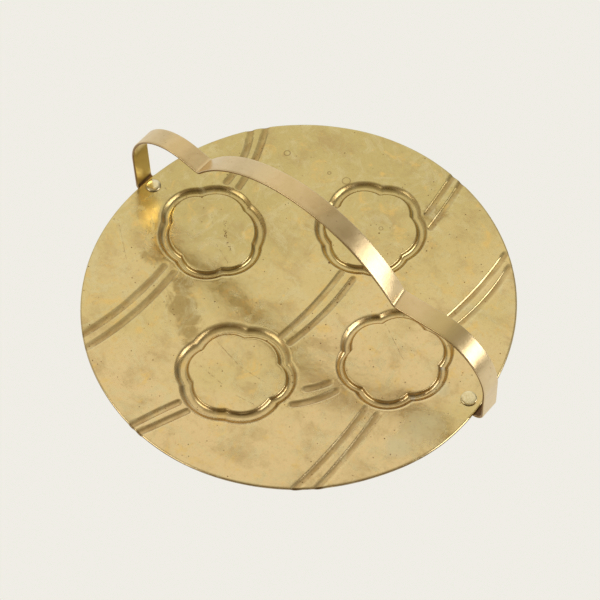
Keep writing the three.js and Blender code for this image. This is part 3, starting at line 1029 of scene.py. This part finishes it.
def plate_brass():
    """Old polished sheet: blotched, pitted and scratched, with dirt in its grooves and painted shade on its
    rim's side.
    """
    look = Looks("pressed_brass")
    place = look.place()
    flat = look.vector("MULTIPLY", place, (1, 1, 0))
    across = look.vector("DOT_PRODUCT", place, tuple(TO_BACK), "Value")
    pressed = look.attribute("pressed")
    broad = look.noise(place, 95, 3, 0.5, 0.8)
    stain = look.noise(look.moved(place, 30, (1, 1.3, 1)), 30, 9, 0.68, 0.4)
    mottle = look.noise(place, 3.2, 7, 0.75)

    color = sheet_tone(look, across, broad)
    color, dullness = clouded(look, place, flat, color, stain)
    color = look.mix(look.times(look.between(mottle, 0.5, 0.75), 0.5), color, STAIN)
    color = look.mix(look.times(look.between(mottle, 0.25, 0.48, 1, 0), 0.35), color, HAZE)
    for x, y, size in ORANGE_SPOTS:
        ragged = look.plus(look.distance(flat, x, y), look.times(mottle, size))
        color = look.mix(look.between(ragged, size * 0.8, size * 1.6, 0.7, 0), color, AMBER)
    pits = sheet_pits(look, place, flat, stain, mottle, pressed)
    color = look.mix(pits, color, DIRT_AND_SHADOW)
    for x, y, radius in LIME_DEPOSIT:
        scale = look.times(look.between(look.distance(flat, x, y), radius * 0.6, radius, 1, 0), pressed)
        color = look.mix(look.times(scale, look.between(mottle, 0.42, 0.6)), color, LIME)
    grime = groove_grime(look, place, pressed)
    color = look.mix(look.times(grime, 0.72), color, GRIME)
    # Painted shade on the rim's side.
    color = look.mix(painted_rim_shade(look, place, across), color, RIM_SIDE_SHADE)
    scratches = hairlines(look, place, broad)
    color = look.mix(look.times(scratches, 0.4), color, STAIN)

    roughness = look.plus(look.between(stain, 0.35, 0.7, 0.17, 0.25), dullness)
    grime_roughness = look.times(grime, look.between(pressed, 0.28, 0.45, 0.2, 0.05))
    roughness = look.plus(roughness, look.plus(look.times(pits, 0.35), grime_roughness))
    height = look.plus(look.noise(place, 17, 3, 0.45), look.times(mottle, 0.045))
    height = look.plus(height, look.times(look.plus(pits, look.times(scratches, 0.3)), -0.06))
    return look.finish(color, roughness, height, 0.32)


# Places along the strap, in mm from its left foot's end.
ABOVE_RIM = (23, 447)  # its feet lie under the rim before and after these
PAINTED_REFLECTION_UNDER = (60, 85)  # its inner face's painted reflection, bright gold, ends between these
PAINTED_SHADE_UNDER = (85, 120)  # and painted shade, dull, covers the inner face from between these
PAINTED_LIGHT_UNDER = (340, 385)  # and the painted shade turns to paler painted light between these
RIGHT_HUMP_TOP = 368  # top of the right hump; the strap is coloured darker about it


def strap_brass():
    """A satin bar: fine marks along it, stains, a painted dark reflection on its side faces, a painted
    shadow where it goes round the rim, and a painted reflection, painted shade and painted light on its
    inner face.
    """
    look = Looks("strap_brass")
    along = look.attribute("along", "Vector")
    run, across, level = look.add("SeparateXYZ", {0: along}).outputs
    broad = look.noise(along, 24, 4, 0.55, 0.6)
    mottle = look.noise(along, 4.5, 7, 0.7)
    hairs = look.noise(look.moved(along, 0, (0.12, 3.0, 3.0)), 1.6, 5, 0.6)

    color = look.mix(look.between(broad, 0.35, 0.65), (0.72, 0.56, 0.325), (0.79, 0.635, 0.39))
    color = look.mix(look.times(look.between(mottle, 0.5, 0.8), 0.45), color, (0.56, 0.40, 0.195))
    color = look.mix(look.times(look.between(hairs, 0.5, 0.75), 0.22), color, (0.66, 0.49, 0.25))
    color = look.mix(look.between(look.cells(along, 5.5), 0.03, 0.08, 0.7, 0), color, DIRT_AND_SHADOW)
    # Darker brown about the top of the right hump.
    from_hump_top = look.math("ABSOLUTE", look.plus(run, -RIGHT_HUMP_TOP))
    color = look.mix(look.between(from_hump_top, 3, 24, 0.85, 0), color, (0.60, 0.47, 0.23))

    # The inner face: a painted reflection, bright gold, on the left upright, then painted shade, dull, and
    # under the right hump paler painted light.
    inner_face = look.between(level, -0.95, -0.8, 1, 0)
    under = look.times(inner_face, look.between(run, *PAINTED_SHADE_UNDER, 0, 0.8))
    dull = look.mix(look.between(run, *PAINTED_LIGHT_UNDER), (0.62, 0.56, 0.42), (0.93, 0.87, 0.68))
    color = look.mix(under, color, dull)
    bright = look.times(inner_face, look.between(run, *PAINTED_REFLECTION_UNDER, 1, 0))
    color = look.mix(bright, color, (0.98, 0.80, 0.36))
    # Painted shadow on the feet's inner face, where they go under the rim.
    left_rim, right_rim = ABOVE_RIM
    feet = look.largest([
        look.between(run, left_rim - 5, left_rim, 1, 0),
        look.between(run, right_rim, right_rim + 8),
    ])
    foot_shadow = look.times(feet, look.times(inner_face, 0.85))
    color = look.mix(foot_shadow, color, DIRT_AND_SHADOW)
    # Painted dark reflection on the strap's side faces, below their top rounding.
    at_edge = look.between(look.math("ABSOLUTE", across), 7.1, 7.42)
    edge = look.times(at_edge, look.between(level, 0.35, 0.8, 1, 0))
    color = look.mix(look.times(edge, 0.9), color, (0.24, 0.13, 0.045))

    roughness = look.plus(look.between(broad, 0.3, 0.7, 0.24, 0.33), look.times(hairs, 0.08))
    roughness = look.plus(roughness, look.plus(look.times(under, 0.35), look.times(foot_shadow, 0.3)))
    height = look.plus(look.noise(along, 11, 3), look.times(hairs, 0.09))
    height = look.plus(height, look.times(mottle, 0.05))
    return look.finish(color, roughness, height, 0.2)


def rivet_brass():
    """Bright heads, mottled, with dirt and painted shade on the lower part of each."""
    look = Looks("rivet_brass")
    place = look.place()
    mottle = look.noise(place, 1.8, 6, 0.65)
    color = look.mix(look.between(mottle, 0.4, 0.7), (0.88, 0.80, 0.56), (0.76, 0.66, 0.40))
    level = look.add("SeparateXYZ", {0: place}).outputs["Z"]
    # Dirt and painted shade: darkest low on each head, fading upwards.
    grime = look.times(look.between(level, 0.45, 1.1, 1, 0), look.between(mottle, 0.35, 0.6, 0.6, 1))
    color = look.mix(look.times(grime, 0.8), color, (0.2, 0.12, 0.05))
    roughness = look.plus(look.between(mottle, 0.35, 0.7, 0.13, 0.24), look.times(grime, 0.25))
    dents = look.noise(place, 2.6, 3)
    return look.finish(color, roughness, look.plus(dents, look.times(mottle, 0.1)), 0.12)


# ------------------------------------------------------------------ the scene

bpy.context.scene.view_settings.view_transform = "Standard"
make_camera()
make_world()
make_lights()
make_floor()
make_plate(plate_brass())
make_strap(strap_brass())
make_rivets(rivet_brass())
